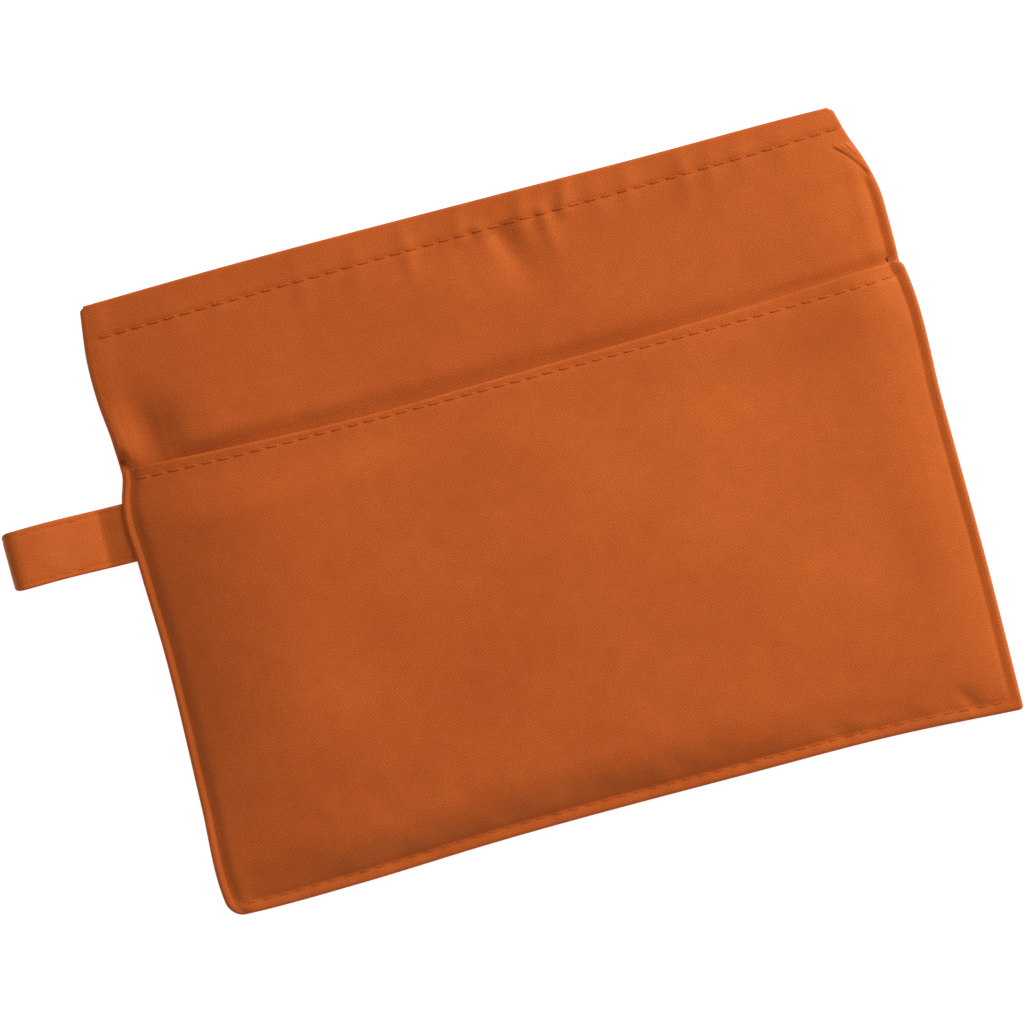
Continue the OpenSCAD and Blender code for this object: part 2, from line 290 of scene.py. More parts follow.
def corner_inset(y, low, radius):
    """How far the outline comes in at a rounded bottom corner."""
    d = np.clip(y - low, 0, radius)
    return radius - np.sqrt(np.maximum(0, radius ** 2 - (radius - d) ** 2))


def edges_at(y, sleeve=True):
    """The outline's left and right x at height y."""
    left, right = left_edge(y), right_edge(y)
    if sleeve:
        share = smooth((y - (Y_HEM - NARROWING)) / NARROWING)
        left = left + (sleeve_left(y) - left) * share
        right = right + (sleeve_right(y) - right) * share
    left = left + corner_inset(y, LOW_LEFT, CORNER_R)
    return left, right - corner_inset(y, LOW_RIGHT, SHARP_CORNER_R)


LEFT_LIP = 1.9              # the left lip is narrower, and its stitches are hidden in the groove
RIGHT_LIP = 2.6
LEFT_RISE, RIGHT_RISE = 38.0, 13.0      # run from each side seam to the crown
LEFT_TURN, TURN_SHARE = 2.4, 0.1        # the cloth turns up sharply beside the left lip
BOTTOM_RISE, BOTTOM_FILL = 11.0, 70.0   # half the height is reached near the bottom seam
NECK_Y, NECK_RUN = Y_HEM - 12, 14       # middle and length of the slope from sand to empty sleeve
FILL_CROWN = 7.6
SLEEVE_CROWN = 3.4
GAPE = 4.4                              # how far the pocket's hem stands off the sleeve
MID = (20, 60)                          # the hem gapes most here: place in x, and half width
LUMPY_TOP, LUMPY_RUN = Y_BOTTOM + 6, 26     # below this height, and fading over this run
LUMPY_SIDE, LUMPY_SIDE_RUN = 55, 35
THIN_FROM, THIN_RUN, THIN_SHARE = -15, 115, 0.84    # the sand thins from here to the right
OUT_FROM, OUT_RUN = Y_HEM - 2, 5        # where the sleeve comes out of the pocket

# The sand's lumps: height, size and seed, and how much of it shows everywhere, low down and at
# the sides.
LUMPS = [(0.30, 19, 3, 0.5, 1.0, 0.5), (0.22, 8, 5, 0.12, 1.4, 0.3), (0.10, 4.2, 7, 0.03, 1.5, 0.0)]

# The pressed edge's grooves and ridges: height, place in from the outline, and half width.
LEFT_GROOVE = (-0.34, LEFT_LIP + 0.9, 1.3)
RIGHT_RIDGE = (0.22, 0.2, 1.3)
RIGHT_GROOVE = (-0.10, RIGHT_LIP - 0.1, 0.8)
BOTTOM_GROOVE = (-0.16, STITCH_IN, 0.8)
BOTTOM_RIDGE = (0.05, 1.1, 0.7)

# Its puckers: height, size and seed, then place and half width.
LEFT_PUCKERS = (0.10, 8, 47, 1.2, 1.0)
RIGHT_PUCKERS = (0.08, 6, 48, 1.2, 1.0)
LIP_PUCKERS = (0.13, 3.1, 45, 1.9, 1.8)
WALL_PUCKERS = (0.24, 5.5, 46, 5.0, 2.6)
EDGE_START, EDGE_RUN = 1, 3             # an edge's relief fades out where it meets another edge

STITCH_DIP = (-0.15, 0, 0.8)            # the cloth is drawn in along a hem's stitches

# A small crease beside the bottom right corner: its ends, depth and half width.
CREASE_ENDS, CREASE_DEPTH, CREASE_W = ((86.5, -70.0), (89.5, -74.0)), 0.30, 1.7
CREASE_FADE = 0.9
SHOULDER, SHOULDER_RUN, SHOULDER_END = 0.45, 2.6, 30    # the front's low shoulder at the left
SLACK_WAVES = [(0.22, 38, 43), (0.07, 14, 44)]          # height, size and seed
SLACK_LIFT = 0.3
HEM_WAVE = 0.12                         # the pocket's hem is a little wavy
HEM_DEPTH, MOUTH_DEPTH = 5.0, 7.6       # how far the turned hems reach down inside


def edge_distances(x, y):
    left, right = edges_at(y)
    return x - left - LEFT_LIP, right - x - RIGHT_LIP, y - bottom_edge(x) - EDGE_W


def crown(x, y):
    left, right, bottom = edge_distances(x, y)
    steep = 1 - TURN_SHARE + TURN_SHARE * ease_out(left, LEFT_TURN)
    low = 0.5 * ease_out(bottom, BOTTOM_RISE) + 0.5 * ease_out(bottom, BOTTOM_FILL)
    return steep * ease_out(left, LEFT_RISE) * ease_out(right, RIGHT_RISE) * low


def lumps(x, y):
    """The sand's lumps, which show most at the bottom and the sides, where the cloth is tight."""
    low = smooth(1 - (y - LUMPY_TOP) / LUMPY_RUN)
    side = smooth((np.abs(x) - LUMPY_SIDE) / LUMPY_SIDE_RUN)
    return sum(
        height * noise(x, y, size, seed) * (everywhere + at_low * low + at_side * side)
        for height, size, seed, everywhere, at_low, at_side in LUMPS
    )


def neck(y):
    return smooth((y - NECK_Y) / NECK_RUN + 0.5)


def slack(x):
    """The sand has settled to the left, and lies thin at the right."""
    return 1 - THIN_SHARE * smooth((x - THIN_FROM) / THIN_RUN)


def fill_top(x, y):
    """Height of the filled pouch over its seams, under both upper cloths."""
    return (FILL_CROWN + lumps(x, y)) * slack(x) + 0.4 * bump(x, *MID) * bump(y, -20, 40)


def stitch_dimple(s):
    """1 at a needle hole, 0.55 half way along a stitch; s is the distance along the row."""
    return 0.775 - 0.225 * np.cos(2 * math.pi * s / STITCH_PITCH)


def relief(distance, shape):
    """A groove or ridge along a line, from its (height, place, half width)."""
    height, place, width = shape
    return height * bump(distance, place, width)


def puckers(x, y, distance, shape):
    """Seeded puckers along a line, from their (height, size, seed, place, half width)."""
    height, size, seed, place, width = shape
    return height * noise(x, y, size, seed) * bump(distance, place, width)


def clear_of(distance):
    """0 at an edge, and 1 once clear of it."""
    return smooth((distance - EDGE_START) / EDGE_RUN)


def press(x, y, sleeve=True):
    """The pressed edge: a stitched groove inside the outline, a soft ridge, and small puckers."""
    left, right = edges_at(y, sleeve)
    left, right, bottom = x - left, right - x, y - bottom_edge(x)
    side = relief(left, LEFT_GROOVE) + puckers(x, y, left, LEFT_PUCKERS)
    side += relief(right, RIGHT_RIDGE) + relief(right, RIGHT_GROOVE)
    side += puckers(x, y, right, RIGHT_PUCKERS)
    low = relief(bottom, BOTTOM_GROOVE) * stitch_dimple(x) + relief(bottom, BOTTOM_RIDGE)
    low += puckers(x, y, bottom, LIP_PUCKERS) + puckers(x, y, bottom, WALL_PUCKERS)
    return side * clear_of(bottom) + low * clear_of(left) * clear_of(right)


def crease(x, y):
    t, across = along(x, y, *CREASE_ENDS)
    ends = smooth((t + 0.8) / CREASE_FADE) * smooth((1.6 - t) / CREASE_FADE)
    return -CREASE_DEPTH * bump(across, 0, CREASE_W) * ends


def front_height(x, y):
    gape = (SLEEVE_CROWN + GAPE * (0.42 + 0.58 * bump(x, *MID))) * (0.24 + 0.76 * slack(x))
    top = fill_top(x, y) * (1 - neck(y)) + gape * neck(y)
    left = edge_distances(x, y)[0]
    shoulder = SHOULDER * ease_out(left, SHOULDER_RUN) * (1 - ease_out(left, SHOULDER_END))
    z = FRONT_Z + top * crown(x, y) + shoulder + press(x, y, False) + crease(x, y)
    above = y - hem_stitch(x)
    z += relief(above, STITCH_DIP) * stitch_dimple(x)
    z += HEM_WAVE * smooth((above + HEM_DEPTH) / HEM_DEPTH) * noise(x, y, 7, 41)
    # soft broad undulations of slack cloth
    inside = np.minimum(1, crown(x, y) * 1.5)
    waves = sum(height * noise(x, y, size, seed) for height, size, seed in SLACK_WAVES)
    return z + inside * (SLACK_LIFT + waves)


# The empty sleeve's section, as (distance in from its rolled left edge, height): high up, and lower
# down at the dent.
sleeve_side = curve_through([
    (0, 0.8), (0.6, 1.25), (2, 1.6), (8, 2.2), (14, 2.9), (22, 3.7), (32, 4.3), (48, 4.6),
])
dented_side = curve_through([
    (0, 1.0), (0.6, 1.55), (1.8, 1.8), (4, 1.5), (7.4, 0.9), (9.2, 0.95), (13, 2.05), (18, 3.75),
    (23, 4.5), (30, 4.7), (48, 4.6),
])
DENT_TOP, DENT_RUN = 56, 14
SLEEVE_RISE = 19.0                      # run from the right seam to the sleeve's full height
FLAT_RISE, FLAT_FROM, FLAT_RUN = 1.1, 20, 50    # inside the pocket, the sleeve rises to the right
SLEEVE_STAYS = 0.3                      # share of its height that doesn't follow the sand's
CORNER_FROM, CORNER_RUN = 56, 6         # height where the mouth's right corner starts
MIDDLE_RUN = 20                         # run over which one side's features end at the middle
INNER_PRESS = 0.7                       # share of the edge's relief that shows inside the pocket
SEAM_LIFT, LIFT_FROM, LIFT_RUN = 0.85, -60, 20


def comes_out(y):
    """0 inside the pocket, and 1 where the sleeve has come out of it."""
    return smooth((y - OUT_FROM) / OUT_RUN)


def seam_lift(x, y):
    """The sleeve's left seam stands a little higher than the others: the sleeve is rolled there."""
    return SEAM_LIFT * comes_out(y) * smooth((LIFT_FROM - x) / LIFT_RUN)


def sleeve_height(x, y):
    out = comes_out(y)
    left, right, _ = edge_distances(x, y)
    filled = (FILL_CROWN + lumps(x, y)) * slack(x) * (1 - neck(y)) * crown(x, y)
    dented = smooth((DENT_TOP - y) / DENT_RUN)
    inwards = left + LEFT_LIP
    empty = dented_side(inwards) * dented + sleeve_side(inwards) * (1 - dented)
    flat = (SLEEVE_CROWN + FLAT_RISE * smooth((x - FLAT_FROM) / FLAT_RUN)) * crown(x, y)
    # neither the layers at the mouth's right corner nor the rolled left edge are pressed
    at_corner = smooth((y - CORNER_FROM) / CORNER_RUN) * smooth(x / MIDDLE_RUN)
    at_left = out * smooth(-x / MIDDLE_RUN)
    empty = empty * out + flat * (1 - out)
    empty *= SLEEVE_STAYS + (1 - SLEEVE_STAYS) * slack(x)
    empty *= ease_out(right + RIGHT_LIP * at_corner, SLEEVE_RISE)
    z = SLEEVE_Z + filled + empty * neck(y)
    shown = (1 - at_left) * (1 - at_corner) * (INNER_PRESS + (1 - INNER_PRESS) * out)
    return z + press(x, y) * shown + sleeve_folds(x, y) * out


# Small gathers across the mouth's stitch line: place, height, half width, reach above and below,
# and lean.
GATHERS = [
    (-66, 0.18, 2.6, 4, 5, 0.1), (-45, 0.22, 2.4, 5, 7, 0.0), (-31, 0.24, 2.2, 5, 6, 0.1),
    (-18.0, 0.40, 2.0, 6, 7, 0.0), (-8, 0.20, 2.4, 5, 6, 0.1), (-4.6, 0.50, 2.0, 7, 2.0, 0.15),
    (0.6, 0.42, 2.2, 2, 8, -0.4), (10.9, 0.55, 2.2, 8, 4, 0.15), (16.4, 0.60, 1.9, 2, 9, -0.1),
    (21.9, 0.62, 2.0, 8, 2, 0.2), (30, 0.22, 2.3, 5, 4, 0.0), (38, 0.34, 2.2, 6, 4, 0.1),
    (52, 0.38, 2.0, 6, 5, 0.0), (59, 0.24, 1.8, 4, 5, 0.1), (67, 0.22, 2.2, 5, 4, 0.0),
    (77, 0.2, 2.4, 4, 4, 0.0),
]

HEM_STEP, HEM_STEP_RUN = 0.16, 1.6      # the turned hem stands a cloth's thickness over the rest
VALLEY_ENDS = (3.6, 68.6), (8.9, 57.0)
VALLEY_DEPTH, VALLEY_W, VALLEY_WIDENS = 0.95, 3.2, 1.3
SWELL = 0.2                             # a low swell beside the valley's lower end
RECESS = 3.0                            # the sleeve's edge goes under the pocket's left corner
NEAR_DIP, BROAD_DIP = 0.75, 0.8
SLEEVE_WAVES = [(0.40, 34, 31), (0.08, 11, 33)]         # height, size and seed


def gathers(x, above):
    z = np.zeros_like(x)
    for place, height, width, up, down, lean in GATHERS:
        reach = np.where(above > 0, bump(above, 0, up), bump(above, 0, down))
        z += height * bump(x - lean * above, place, width) * reach
    return z


def valley(x, y):
    """A short valley that leads down from the mouth's hem, and widens on the way."""
    t, across = along(x, y, *VALLEY_ENDS)
    width = VALLEY_W + VALLEY_WIDENS * np.clip(t, 0, 2)
    return VALLEY_DEPTH * bump(across, 0, width) * smooth(t / 0.2 + 0.4) * smooth((1.9 - t) / 1.5)


def pocket_dip(x, y):
    """The cloth dips where the pocket's hem stands off it: more sharply towards the right."""
    above = y - hem_edge(x)
    tight = smooth((x - 30) / 40)
    near = (NEAR_DIP + 0.1 * tight) * bump(above, tight - 0.6, 2.0 - 0.9 * tight)
    broad = BROAD_DIP * bump(x, 15, 45) * bump(above, -2, 5)
    return (near + broad) * smooth((x + 80) / 15)


def sleeve_folds(x, y):
    """The empty sleeve's own folds."""
    above = y - mouth_stitch(x)
    z = HEM_STEP * smooth((above + 0.6) / HEM_STEP_RUN)
    z += relief(above, STITCH_DIP) * stitch_dimple(x)
    z += gathers(x, above) - valley(x, y) - pocket_dip(x, y)
    z += SWELL * bump(x, 12, 9) * bump(y, 56, 8)
    z -= RECESS * bump(x, -98.2, 1.4) * bump(y, 36.0, 1.9)
    waves = sum(height * noise(x, y, size, seed) for height, size, seed in SLEEVE_WAVES)
    return z + waves * smooth((x + 92) / 20) + corner_layers(x, y)


# Where the layers turn up at the mouth's right corner, as (height, x).
corner_line = curve_through([
    (55.0, 98.6), (57.5, 97.5), (60.0, 96.0), (62.5, 94.3), (65.0, 92.3), (67.4, 89.8),
])
CORNER_RIDGES, RIDGE_STEEP, RIDGE_W = 3, 0.30, 0.40     # height and half width, by the pitch
PITCH_SHARE, PITCH_MIN, PITCH_MAX = 0.3, 0.7, 1.2       # pitch, by the room beside the line
LOW_RIDGE = (0.22, 92.6, 2.0)           # a low ridge runs down beside the flange


def corner_layers(x, y):
    """At the mouth's right corner the seam's layers turn up, as curved parallel ridges."""
    d = x - corner_line(y)
    room = edges_at(y)[1] - corner_line(y)
    pitch = np.clip(PITCH_SHARE * room, PITCH_MIN, PITCH_MAX)
    ridges = sum(
        RIDGE_STEEP * pitch * bump(d, 0.1 + k * pitch, RIDGE_W * pitch)
        for k in range(CORNER_RIDGES)
    )
    step = 0.1 * smooth(d + 0.8) - 0.08 * bump(d, -0.8, 0.5)
    fade = smooth((y - 55.0) / 3) * smooth((68.2 - y) / 1.6)
    low = relief(x, LOW_RIDGE) * smooth((y - 37) / 4) * smooth((65 - y) / 6)
    return fade * (ridges + step) + low


BACK_RISE = 11.0                        # run from the seams to where the back lies on the floor
LYING_Z = CLOTH_T / 2 + 0.02
BACK_DRAW = 0.45                        # how far the mouth's stitches draw the back in


def back_height(x, y):
    left, right, bottom = edge_distances(x, y)
    dish = ease_out(left, BACK_RISE) * ease_out(right, BACK_RISE) * ease_out(bottom, BACK_RISE)
    waves = 0.35 * smooth(noise(x, y, 26, 51)) * dish + 0.1 * noise(x, y, 9, 52)
    z = LYING_Z + (BACK_Z + seam_lift(x, y) - LYING_Z) * (1 - dish) + np.maximum(waves, 0)
    z += BACK_DRAW * bump(y - mouth_stitch(x), 0, 0.8) * stitch_dimple(x)
    return np.maximum(z - press(x, y), LYING_Z)


# ---------------------------------------------------------------- cloth grids with rolled edges

FINE, COARSE, COLUMN = 0.42, 1.35, 0.8  # steps between the grids' rows and columns
TOP_CORNER_R = 0.9
HEM_OUT = 0.65              # how far a turned hem's fold stands past the grid's last row
DRAWN_RUN = 30              # run over which the rows take up the bottom edge's shape


def roll(count, turn):
    """A folded edge's section, from its top round its outside: how far out, and how far down."""
    angles = np.linspace(0, turn, count + 1)[1:]
    return LIP_R * np.sin(angles), LIP_R * (1 - np.cos(angles))


ROLL_OUT, ROLL_DROP = roll(5, math.radians(150))


def columns():
    marks = [-HALF_W + STITCH_IN, HALF_W - STITCH_IN, HALF_W - 6, HALF_W - 9]
    inner = graded(-HALF_W + LIP_R, HALF_W - LIP_R, COLUMN, FINE * 0.6, marks, 3.0)
    return inner / (HALF_W - LIP_R)


def cloth_points(rows, height, sleeve, top_edge, reach, down=True, bottom_roll=True):
    """A cloth's grid, with both side edges and the bottom edge rolled under.

    The last rows follow top_edge, which isn't quite straight. down says whether the edges roll
    down, as on an upper cloth, or up, as on the back.
    """
    shares = columns()
    turn = -1 if down else 1
    extra = len(ROLL_OUT)
    row_list = [(y, 0.0, 0.0) for y in rows]
    if bottom_roll:
        row_list = list(zip([rows[0]] * extra, -ROLL_OUT[::-1], ROLL_DROP[::-1])) + row_list
    grid = []
    for y, push, row_drop in row_list:
        drawn = smooth((Y_BOTTOM + DRAWN_RUN - y) / DRAWN_RUN)
        left = edges_at(y + push + (LOW_LEFT - Y_BOTTOM) * drawn, sleeve)[0]
        right = edges_at(y + push + (LOW_RIGHT - Y_BOTTOM) * drawn, sleeve)[1]
        sideways = math.sqrt(max(0.0, 1 - (push / LIP_R) ** 2))
        inset = corner_inset(rows[-1], y, TOP_CORNER_R) + LIP_R * sideways
        left, right = left + inset, right - inset
        x = left + (right - left) * (shares + 1) / 2
        py = y + (bottom_edge(x) - Y_BOTTOM) * drawn
        py = py + (top_edge(x) - HEM_OUT - rows[-1]) * smooth((y - rows[-1] + reach) / reach)
        side_out = ROLL_OUT * sideways
        xs = np.concatenate([x[0] - side_out[::-1], x, x[-1] + side_out])
        ys = np.pad(py, extra, "edge") + push
        zs = np.pad(height(x, py), extra, "edge")
        side_drop = np.concatenate([ROLL_DROP[::-1], np.zeros(len(x)), ROLL_DROP])
        drop = np.minimum(np.hypot(side_drop, row_drop), 2 * LIP_R)
        grid.append(np.stack([xs, ys, zs + turn * drop], axis=1))
    return np.array(grid)


def turned_hem(p, depth, gap, steps=5):
    """Adds a hem to a grid's last row: the cloth turns in and runs back down inside by depth."""
    last = p[-1]
    out = last - p[-4]
    out[:, 0] = 0
    out /= np.linalg.norm(out, axis=1, keepdims=True)
    down = np.array([0.0, 0.0, -1.0 if gap > 0 else 1.0])
    r = abs(gap) / 2
    rows = []
    for a in np.linspace(0, math.pi, steps + 1)[1:]:
        rows.append(last + out * r * math.sin(a) + down * r * (1 - math.cos(a)))
    for row in range(3, 30, 2):
        if np.mean(last[:, 1] - p[-row][:, 1]) > depth:
            break
        rows.append(p[-row] + down * abs(gap))
    return np.concatenate([p, np.array(rows)])


def rows_between(first, last, fine, marks, reach):
    """A cloth's rows from the bottom up, with two more at each end for the rounded corners."""
    rows = graded(first, last, COARSE, fine, marks, reach)
    near = np.array([0.07, 0.2])
    return np.sort(np.concatenate([rows, first + near, last - near]))


def front_cloth():
    marks = [Y_BOTTOM + STITCH_IN, Y_HEM - 2.0]
    rows = rows_between(Y_BOTTOM + LIP_R, Y_HEM, FINE, marks, 3.4)
    return turned_hem(cloth_points(rows, front_height, False, hem_edge, 30.0), HEM_DEPTH, 0.95)


def inner_cloth():
    marks = [Y_MOUTH - 6.5, Y_MOUTH - 14]
    rows = rows_between(Y_BOTTOM + 1.5, Y_MOUTH, FINE, marks, 5.0)
    p = cloth_points(rows, sleeve_height, True, mouth_edge, 16.0, bottom_roll=False)
    return turned_hem(p, MOUTH_DEPTH, 0.9)


def back_cloth():
    marks = [Y_BOTTOM + STITCH_IN, Y_MOUTH - 6.5]
    rows = rows_between(Y_BOTTOM + LIP_R, Y_MOUTH, FINE + 0.1, marks, 4.0)
    p = cloth_points(rows, back_height, True, mouth_edge, 16.0, down=False)
    return turned_hem(p, MOUTH_DEPTH, -0.9)


# ---------------------------------------------------------------- the layers inside the seams

PLIES, PLY_STEP = 3, 1.3


def plies(line, first, last, along_y):
    """The seam's turned-in layers: thin strips that follow an edge, a little ragged on the outside.

    line gives the outline at each place along it and which way is inwards.
    """
    draw = np.random.default_rng(61)
    places = np.arange(first, last + 0.01, PLY_STEP)
    edge, inwards = line(places)
    parts = []
    room = (SEAM_HIGH - SEAM_LOW) / PLIES
    for k in range(PLIES):
        inset = 0.75 + 0.35 * draw.uniform(size=len(places)) + 0.15 * k
        z0 = SEAM_LOW + room * (k + 0.5)
        grid = []
        for share in np.linspace(0, 1, 5):
            across = edge + inwards * (inset + (EDGE_W - 0.2 - inset) * share)
            z = z0 + 0.04 * noise(places, across * 0 + 7 * k, 5, 63)
            if along_y:
                z = z + seam_lift(across, places)
            grid.append(np.stack([across, places, z] if along_y else [places, across, z], axis=1))
        grid = np.array(grid)
        if along_y == (inwards > 0):
            grid = grid[::-1]
        parts.append(sheet_part(grid, room * 0.8))
    return parts


def side_line(side):
    def line(y):
        left, right = edges_at(y)
        return (left, 1) if side < 0 else (right, -1)
    return line


# ---------------------------------------------------------------- stitches

STITCH_LEN = 3.5
THREAD_R = 0.27
END_GAP = 0.4               # a row's first stitch keeps this share of a pitch from its end
draw_stitch = np.random.default_rng(71)


def row_of_stitches(place, first, last, sunk=0.0):
    """Separate stitches, each an arch of thread that goes through the cloth at both ends.

    place(s) gives points on the cloth at distances s along the row, and the way out of the cloth.
    """
    parts = []
    t = np.linspace(-1, 1, 11)
    start, end = first / STITCH_PITCH + END_GAP, last / STITCH_PITCH - END_GAP
    for k in range(math.ceil(start), math.floor(end) + 1):
        shift, long, slant = draw_stitch.uniform(-1, 1, 3)
        s = k * STITCH_PITCH + 0.12 * shift + t * (STITCH_LEN + 0.15 * long) / 2
        points, out, across = place(s)
        lift = -THREAD_R * 0.15 - 0.75 * np.abs(t) ** 8 - sunk
        path = points + out * lift[:, None] + across * (0.07 * slant * t)[:, None]
        parts.append(tube(path, THREAD_R, seed=k))
    return parts


def on_cloth(line, height, along_x=True, up=1):
    """A row of stitches' places on a cloth: line gives y from x, or x from y."""
    def place(s):
        x, y = (s, line(s)) if along_x else (line(s), s)
        points = np.stack([x, y, height(x, y) + up * CLOTH_T / 2], axis=1)
        across = np.array([0.0, 1.0, 0.0] if along_x else [1.0, 0.0, 0.0])
        return points, np.array([0.0, 0.0, float(up)]), across
    return place


def in_from_side(side, sleeve):
    def line(y):
        left, right = edges_at(y, sleeve)
        return left + LEFT_LIP + 0.3 if side < 0 else right - RIGHT_LIP + 0.1
    return line


def in_from_bottom(x):
    return bottom_edge(x) + STITCH_IN


def on_side(side, sleeve, height, up=1):
    return on_cloth(in_from_side(side, sleeve), height, False, up)


def side_stitches(side):
    """The rows along one side of the pouch, on its front and on its back."""
    start, end = Y_BOTTOM + STITCH_IN, Y_HEM - 0.5
    parts = row_of_stitches(on_side(side, False, front_height), start, end, 0.25)
    return parts + row_of_stitches(on_side(side, True, back_height, -1), start, end)


def bottom_stitches():
    start, end = -HALF_W + STITCH_IN, HALF_W - STITCH_IN
    parts = row_of_stitches(on_cloth(in_from_bottom, front_height), start, end, 0.1)
    return parts + row_of_stitches(on_cloth(in_from_bottom, back_height, up=-1), start, end)


def pocket_stitches():
    return row_of_stitches(on_cloth(hem_stitch, front_height), -HALF_W + 2, HALF_W - 2.5)


def sleeve_stitches():
    parts = row_of_stitches(on_side(1, True, sleeve_height), Y_HEM + 5, Y_MOUTH - 19, 0.2)
    for side in (-1, 1):
        parts += row_of_stitches(on_side(side, True, back_height, -1), Y_HEM + 0.5, Y_MOUTH - 1)
    return parts


def mouth_stitches():
    start, end = -HALF_W + 2, HALF_W - 7.5
    parts = row_of_stitches(on_cloth(mouth_stitch, sleeve_height), start, end)
    return parts + row_of_stitches(on_cloth(mouth_stitch, back_height, up=-1), start, end)


# ---------------------------------------------------------------- the hanging loop

STRAP_T = 0.6
EYE_R = 3.1                 # radius of the room inside the strap's outer bend
EYE_IN = EYE_R + 0.68       # the eye's middle, in from the loop's outer end
EYE = np.array([LOOP[0][0] + EYE_IN, 0, (LOOP[0][2] + LOOP[1][2]) / 2])
BEND_R = EYE_IN - STRAP_T / 2           # middle of the strap, round its outer bend
BEND_POWER = 0.75           # less than 1 makes the bend a little square
LOOP_MID = (LOOP[0][1] + LOOP[1][1]) / 2
STRAP_HALF = (LOOP[1][1] - LOOP[0][1]) / 2
HINGE_X = LOOP[1][0]
TAIL_X = TAIL[1][0] - 0.4
SAG_X, SAG = HINGE_X - 7.5, 1.2         # the strap droops to the floor beside the seam
STRAP_STITCH_IN = 1.35


def squarish(c):
    return np.sign(c) * np.abs(c) ** BEND_POWER


def loop_section():
    """The strap's middle line in x and z: out from the seam, round the eye, and back under."""
    x = TAIL_X + (EYE[0] - TAIL_X) * np.linspace(0, 1, 44)
    gap = STRAP_T / 2 + 0.04
    open_up = np.clip((SAG_X + 1 - x) / (SAG_X + 1 - EYE[0]), 0, 1) ** 0.7
    half = gap + (BEND_R - gap) * open_up
    starts = smooth((HINGE_X + 0.5 - x) / (HINGE_X - SAG_X))
    droop = SAG * starts * (1 - smooth((SAG_X - x) / (SAG_X - EYE[0])))
    upper = np.stack([x, EYE[2] + half - droop], axis=1)
    lower = np.stack([x, EYE[2] - half - droop * (1 - open_up)], axis=1)[::-1]
    turn = np.linspace(math.pi / 2, 3 * math.pi / 2, 25)[1:-1]
    around = np.stack([squarish(np.cos(turn)), squarish(np.sin(turn))], axis=1)
    return np.concatenate([upper, EYE[[0, 2]] + BEND_R * around, lower])


def outwards(section):
    """The way away from the eye, at each point of the strap's middle line."""
    t = np.gradient(section, axis=0)
    t /= np.linalg.norm(t, axis=1, keepdims=True)
    return np.stack([t[:, 1], -t[:, 0]], axis=1)


def strap_half(x):
    """Half the strap's width, with rounded corners at its outer end."""
    outer = np.clip((EYE[0] - 1.6 - x) / (BEND_R - 1.6), 0, 1)
    return STRAP_HALF + 0.05 - 0.7 * (1 - np.sqrt(1 - outer ** 2 * 0.99))


def strap_middle(section):
    return LOOP_MID + 0.2 + 0.3 * bump(section[:, 0], EYE[0] + 9, 12)


def loop_strap():
    section = loop_section()
    out, steps = outwards(section), path_lengths(section)
    half, mid = strap_half(section[:, 0]), strap_middle(section)
    grid, thick = [], []
    for share in graded(-1, 1, 0.11, 0.05, [-0.85, 0.85], 0.1):
        inset = half * (1 - abs(share))
        drawn = 0.5 + 0.5 * stitch_dimple(steps)
        y = mid + half * share
        wave = 0.10 * noise(steps, y, 6, 91) - 0.12 * bump(inset, STRAP_STITCH_IN, 0.4) * drawn
        x, z = (section + out * wave[:, None]).T
        grid.append(np.stack([x, y, z], axis=1))
        rounded = 1 - (1 - np.minimum(inset / 0.35, 1)) ** 2
        thick.append(STRAP_T * np.sqrt(np.clip(rounded, 0.12, 1)))
    return [sheet_part(np.array(grid), np.array(thick))]


def loop_stitches():
    section = loop_section()
    out, steps = outwards(section), path_lengths(section)
    half, mid = strap_half(section[:, 0]) - STRAP_STITCH_IN, strap_middle(section)
    seam_run = TAIL_X - HINGE_X + 1
    parts = []
    for side in (-1, 1):
        def place(s):
            x, z, out_x, out_z, y = (
                np.interp(s, steps, values) for values in (*section.T, *out.T, mid + side * half)
            )
            way = np.stack([out_x, 0 * s, out_z], axis=1)
            points = np.stack([x, y, z], axis=1) + way * (STRAP_T / 2 - 0.26)
            return points, way, np.array([0.0, 1.0, 0.0])
        parts += row_of_stitches(place, seam_run, steps[-1] - seam_run)
    return parts


# ---------------------------------------------------------------- the inner bag and its sand

LINER = cad("liner_front")
SAND = cad("sand_fill")
RIM_T = 0.09                # half the thickness of a pillow's flat rim


def pillow(box, step, rim, upper, lower):
    """A closed soft form between two surfaces, which meet along a flat rim."""
    x, y = np.meshgrid(*(np.arange(box[0][i], box[1][i] + 0.01, step) for i in (0, 1)))
    inset = np.minimum.reduce([x - x.min(), x.max() - x, y - y.min(), y.max() - y])
    full = ease_out(inset - rim, 6.0)
    top = SEAM_Z + RIM_T + np.maximum(upper(x, y) - SEAM_Z, 0.0) * full
    low = SEAM_Z - RIM_T - np.maximum(SEAM_Z - lower(x, y), 0.0) * full
    grids = [np.stack([x, y, z], axis=2) for z in (top, low)]
    return [closed_grid(*grids, flat_lengths(grids[0]))]


def crumple(x, y, seed):
    """Sharp little creases of thin film, from 0 to 1."""
    return 1 - np.abs(noise(x, y, 7, seed)) - 0.4 * np.abs(noise(x, y, 3.1, seed + 1))


def liner_bag():
    def under_cloth(x, y):
        creased = np.clip(1 - crumple(x, y, 81), 0, 1)
        return sleeve_height(x, y) - CLOTH_T / 2 - 0.25 - 0.5 * creased

    def over_back(x, y):
        creased = np.clip(1 - crumple(x, y, 83), 0, 1)
        return back_height(x, y) + CLOTH_T / 2 + 0.12 + 0.25 * creased

    return pillow(LINER, 1.3, 4.0, under_cloth, over_back)


def rough(x, y, seed):
    """The sand's surface."""
    lumpy = 0.22 * noise(x, y, 6, seed) + 0.16 * noise(x, y, 2.6, seed + 1)
    return lumpy + 0.1 * noise(x, y, 1.3, seed + 2)


